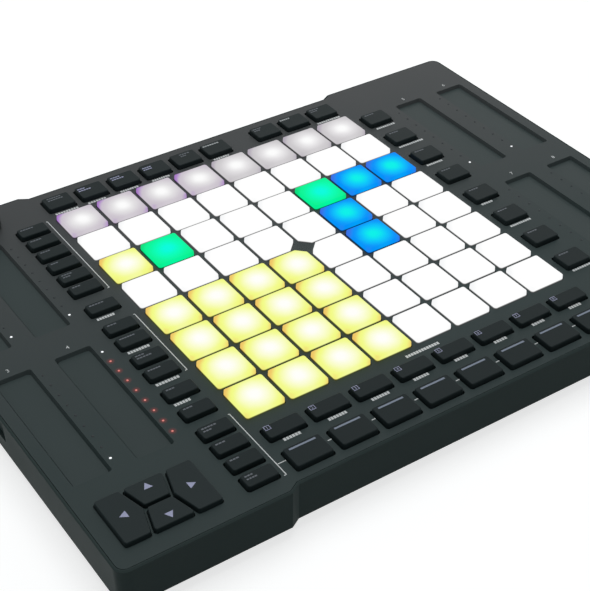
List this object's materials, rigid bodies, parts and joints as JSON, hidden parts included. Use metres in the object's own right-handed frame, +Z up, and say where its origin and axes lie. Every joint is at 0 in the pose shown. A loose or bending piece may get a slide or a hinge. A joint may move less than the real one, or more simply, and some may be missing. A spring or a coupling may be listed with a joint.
{
  "type": "midi pad controller",
  "caption": "Desktop midi pad controller: slim case with a grid of lit pads, framed by keys, touch strips with indicator lights, a display and a push dial.",
  "frame": {"origin": "on the desk under the middle of the body", "axes": "+Z up, +Y to the rear where the sockets are, +X to the right-hand side as the player sees it"},
  "size_m": [0.402, 0.29, 0.0435],
  "materials": {
    "panel_plastic": "fine moulded grain",
    "frame_plastic": "fine moulded grain",
    "base_plastic": "moulded grain",
    "pad_silicone": "translucent, lit from below",
    "key_rubber": "smooth matte",
    "key_plastic": "smooth matte",
    "mat_silicone": "translucent sheet",
    "board_laminate": "solder mask",
    "screw_steel": "zinc plated",
    "foot_rubber": "matte",
    "light_pipe": "clear",
    "light_case": "moulded",
    "strip_surface": "satin",
    "display_glass": "dark tinted",
    "module_plastic": "moulded",
    "encoder_metal": "plated",
    "knob_plastic": "satin",
    "plate_metal": "powder coat",
    "socket_plastic": "moulded",
    "usb_shell": "plated",
    "cable_jacket": "ribbon"
  },
  "bodies": {
    "case": {"top_panel": "panel_plastic", "case_frame": "frame_plastic", "bottom_case": "base_plastic", "connector_plate": "plate_metal", "rubber_feet": "foot_rubber", "case_screws": "screw_steel", "center_board": "board_laminate", "left_board": "board_laminate", "right_board": "board_laminate", "io_board": "board_laminate", "board_screws": "screw_steel", "pad_membrane": "mat_silicone", "pad_lights": "light_case", "touch_strips": "strip_surface", "strip_light_pipes": "light_pipe", "strip_lights": "light_case", "display_window": "display_glass", "display_module": "module_plastic", "encoder_body": "encoder_metal", "midi_in_socket": "socket_plastic", "midi_out_socket": "socket_plastic", "socket_inserts": "socket_plastic", "usb_socket": "usb_shell", "flat_cables": "cable_jacket", "top_key_mat": "mat_silicone", "front_key_mat": "mat_silicone", "left_key_mat": "mat_silicone", "right_key_mat": "mat_silicone", "arrow_key_mat": "mat_silicone", "transport_key_mat": "mat_silicone"},
    "pads_row_1_body": {"pads_row_1": "pad_silicone"},
    "pads_row_2_body": {"pads_row_2": "pad_silicone"},
    "pads_row_3_body": {"pads_row_3": "pad_silicone"},
    "pads_row_4_body": {"pads_row_4": "pad_silicone"},
    "pads_row_5_body": {"pads_row_5": "pad_silicone"},
    "pads_row_6_body": {"pads_row_6": "pad_silicone"},
    "pads_row_7_body": {"pads_row_7": "pad_silicone"},
    "pads_row_8_body": {"pads_row_8": "pad_silicone"},
    "top_keys_left_body": {"top_keys_left": "key_rubber"},
    "top_keys_right_body": {"top_keys_right": "key_rubber"},
    "scene_keys_body": {"scene_keys": "key_rubber"},
    "left_keys_back_body": {"left_keys_back": "key_rubber"},
    "left_key_upper_body": {"left_key_upper": "key_rubber"},
    "left_pair_back_body": {"left_pair_back": "key_rubber"},
    "left_pair_front_body": {"left_pair_front": "key_rubber"},
    "left_key_lower_back_body": {"left_key_lower_back": "key_rubber"},
    "left_key_lower_front_body": {"left_key_lower_front": "key_rubber"},
    "left_keys_front_body": {"left_keys_front": "key_rubber"},
    "track_select_keys_body": {"track_select_keys": "key_rubber"},
    "track_control_keys_body": {"track_control_keys": "key_rubber"},
    "arrow_left_key_body": {"arrow_left_key": "key_plastic"},
    "arrow_up_key_body": {"arrow_up_key": "key_plastic"},
    "arrow_down_key_body": {"arrow_down_key": "key_plastic"},
    "arrow_right_key_body": {"arrow_right_key": "key_plastic"},
    "play_key_body": {"play_key": "key_rubber"},
    "record_key_body": {"record_key": "key_rubber"},
    "stop_key_body": {"stop_key": "key_rubber"},
    "dial_carrier": {"encoder_plunger": "encoder_metal"},
    "dial": {"encoder_shaft": "encoder_metal", "encoder_knob": "knob_plastic"}
  },
  "joints": [
    {"name": "pads_row_1_press", "type": "slide", "parent": "case", "child": "pads_row_1_body", "axis": [0, 0, -1], "range_m": [0, 0.0012], "stiffness_N_per_m": 1000, "springref_m": -0.001},
    {"name": "pads_row_2_press", "type": "slide", "parent": "case", "child": "pads_row_2_body", "axis": [0, 0, -1], "range_m": [0, 0.0012], "stiffness_N_per_m": 1000, "springref_m": -0.001},
    {"name": "pads_row_3_press", "type": "slide", "parent": "case", "child": "pads_row_3_body", "axis": [0, 0, -1], "range_m": [0, 0.0012], "stiffness_N_per_m": 1000, "springref_m": -0.001},
    {"name": "pads_row_4_press", "type": "slide", "parent": "case", "child": "pads_row_4_body", "axis": [0, 0, -1], "range_m": [0, 0.0012], "stiffness_N_per_m": 1000, "springref_m": -0.001},
    {"name": "pads_row_5_press", "type": "slide", "parent": "case", "child": "pads_row_5_body", "axis": [0, 0, -1], "range_m": [0, 0.0012], "stiffness_N_per_m": 1000, "springref_m": -0.001},
    {"name": "pads_row_6_press", "type": "slide", "parent": "case", "child": "pads_row_6_body", "axis": [0, 0, -1], "range_m": [0, 0.0012], "stiffness_N_per_m": 1000, "springref_m": -0.001},
    {"name": "pads_row_7_press", "type": "slide", "parent": "case", "child": "pads_row_7_body", "axis": [0, 0, -1], "range_m": [0, 0.0012], "stiffness_N_per_m": 1000, "springref_m": -0.001},
    {"name": "pads_row_8_press", "type": "slide", "parent": "case", "child": "pads_row_8_body", "axis": [0, 0, -1], "range_m": [0, 0.0012], "stiffness_N_per_m": 1000, "springref_m": -0.001},
    {"name": "top_keys_left_press", "type": "slide", "parent": "case", "child": "top_keys_left_body", "axis": [0, 0, -1], "range_m": [0, 0.0012], "stiffness_N_per_m": 1000, "springref_m": -0.001},
    {"name": "top_keys_right_press", "type": "slide", "parent": "case", "child": "top_keys_right_body", "axis": [0, 0, -1], "range_m": [0, 0.0012], "stiffness_N_per_m": 1000, "springref_m": -0.001},
    {"name": "scene_keys_press", "type": "slide", "parent": "case", "child": "scene_keys_body", "axis": [0, 0, -1], "range_m": [0, 0.0012], "stiffness_N_per_m": 1000, "springref_m": -0.001},
    {"name": "left_keys_back_press", "type": "slide", "parent": "case", "child": "left_keys_back_body", "axis": [0, 0, -1], "range_m": [0, 0.0012], "stiffness_N_per_m": 1000, "springref_m": -0.001},
    {"name": "left_key_upper_press", "type": "slide", "parent": "case", "child": "left_key_upper_body", "axis": [0, 0, -1], "range_m": [0, 0.0012], "stiffness_N_per_m": 1000, "springref_m": -0.001},
    {"name": "left_pair_back_press", "type": "slide", "parent": "case", "child": "left_pair_back_body", "axis": [0, 0, -1], "range_m": [0, 0.0012], "stiffness_N_per_m": 1000, "springref_m": -0.001},
    {"name": "left_pair_front_press", "type": "slide", "parent": "case", "child": "left_pair_front_body", "axis": [0, 0, -1], "range_m": [0, 0.0012], "stiffness_N_per_m": 1000, "springref_m": -0.001},
    {"name": "left_key_lower_back_press", "type": "slide", "parent": "case", "child": "left_key_lower_back_body", "axis": [0, 0, -1], "range_m": [0, 0.0012], "stiffness_N_per_m": 1000, "springref_m": -0.001},
    {"name": "left_key_lower_front_press", "type": "slide", "parent": "case", "child": "left_key_lower_front_body", "axis": [0, 0, -1], "range_m": [0, 0.0012], "stiffness_N_per_m": 1000, "springref_m": -0.001},
    {"name": "left_keys_front_press", "type": "slide", "parent": "case", "child": "left_keys_front_body", "axis": [0, 0, -1], "range_m": [0, 0.0012], "stiffness_N_per_m": 1000, "springref_m": -0.001},
    {"name": "track_select_keys_press", "type": "slide", "parent": "case", "child": "track_select_keys_body", "axis": [0, 0, -1], "range_m": [0, 0.0012], "stiffness_N_per_m": 1000, "springref_m": -0.001},
    {"name": "track_control_keys_press", "type": "slide", "parent": "case", "child": "track_control_keys_body", "axis": [0, 0, -1], "range_m": [0, 0.0012], "stiffness_N_per_m": 1000, "springref_m": -0.001},
    {"name": "arrow_left_key_press", "type": "slide", "parent": "case", "child": "arrow_left_key_body", "axis": [0, 0, -1], "range_m": [0, 0.0012], "stiffness_N_per_m": 1000, "springref_m": -0.001},
    {"name": "arrow_up_key_press", "type": "slide", "parent": "case", "child": "arrow_up_key_body", "axis": [0, 0, -1], "range_m": [0, 0.0012], "stiffness_N_per_m": 1000, "springref_m": -0.001},
    {"name": "arrow_down_key_press", "type": "slide", "parent": "case", "child": "arrow_down_key_body", "axis": [0, 0, -1], "range_m": [0, 0.0012], "stiffness_N_per_m": 1000, "springref_m": -0.001},
    {"name": "arrow_right_key_press", "type": "slide", "parent": "case", "child": "arrow_right_key_body", "axis": [0, 0, -1], "range_m": [0, 0.0012], "stiffness_N_per_m": 1000, "springref_m": -0.001},
    {"name": "play_key_press", "type": "slide", "parent": "case", "child": "play_key_body", "axis": [0, 0, -1], "range_m": [0, 0.0012], "stiffness_N_per_m": 1000, "springref_m": -0.001},
    {"name": "record_key_press", "type": "slide", "parent": "case", "child": "record_key_body", "axis": [0, 0, -1], "range_m": [0, 0.0012], "stiffness_N_per_m": 1000, "springref_m": -0.001},
    {"name": "stop_key_press", "type": "slide", "parent": "case", "child": "stop_key_body", "axis": [0, 0, -1], "range_m": [0, 0.0012], "stiffness_N_per_m": 1000, "springref_m": -0.001},
    {"name": "dial_press", "type": "slide", "parent": "case", "child": "dial_carrier", "axis": [0, 0, -1], "range_m": [0, 0.0005], "stiffness_N_per_m": 2000, "springref_m": -0.0005},
    {"name": "dial_turn", "type": "hinge", "parent": "dial_carrier", "child": "dial", "pos_m": [-0.138, 0.126, 0.031], "axis": [0, 0, -1], "continuous": true}
  ]
}
